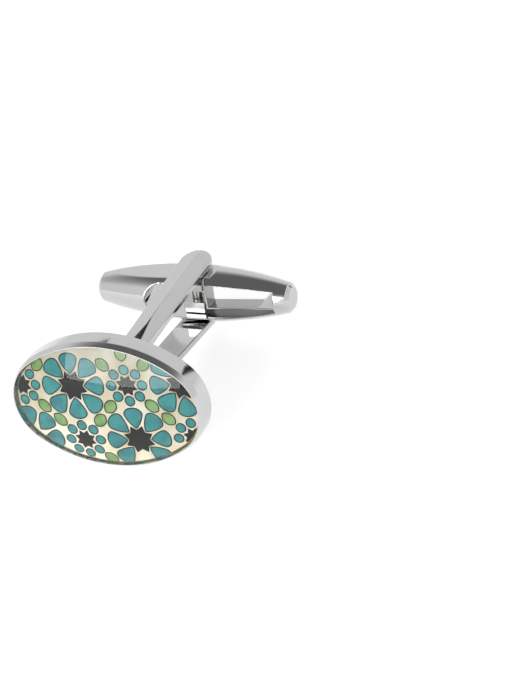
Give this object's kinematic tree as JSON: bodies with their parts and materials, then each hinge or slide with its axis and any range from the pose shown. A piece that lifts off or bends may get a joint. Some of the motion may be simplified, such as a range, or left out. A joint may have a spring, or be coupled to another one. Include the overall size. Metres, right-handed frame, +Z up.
{
  "type": "toggle cufflink",
  "caption": "Oval cufflink: enamel star mosaic under a clear dome in a plated cup, on a forked post that carries a slotted torpedo toggle which swings in line with the post.",
  "frame": {"origin": "middle of the footprint, on the surface that the cufflink lies on", "axes": "+Y from the decorated face towards the toggle, +Z up, +X along the long axis of the oval head"},
  "size_m": [0.0196, 0.0256, 0.0128],
  "materials": {
    "plated_brass": "polished bright plating",
    "pin_steel": "turned and polished",
    "cam_steel": "polished",
    "spring_steel": "rolled strip",
    "anchor_brass": "plated",
    "packing_card": "matt",
    "gilt_plate": "pale gilt, satin",
    "black_enamel": "opaque fired enamel, polished flat",
    "teal_enamel": "opaque fired enamel, polished flat",
    "green_enamel": "opaque fired enamel, polished flat",
    "amber_cement": "clear amber cement",
    "dome_glass": "polished"
  },
  "bodies": {
    "head": {"bezel_cup": "plated_brass", "backing_pad": "packing_card", "mosaic_plate": "gilt_plate", "large_stars": "black_enamel", "small_stars": "black_enamel", "large_petals": "teal_enamel", "small_petals": "teal_enamel", "leaf_cells": "green_enamel", "dome_adhesive": "amber_cement", "clear_dome": "dome_glass", "fork": "plated_brass", "pivot_pin": "pin_steel", "upper_detent_cam": "cam_steel", "lower_detent_cam": "cam_steel"},
    "toggle": {"toggle_bar": "plated_brass", "leaf_spring": "spring_steel", "spring_anchor": "anchor_brass"}
  },
  "joints": [
    {"name": "toggle_pivot", "type": "hinge", "parent": "head", "child": "toggle", "pos_m": [0, 0.01009, 0.0036], "axis": [0, 0.1372, 0.9905], "range_deg": [0, 90], "deforming": ["leaf_spring"]}
  ]
}
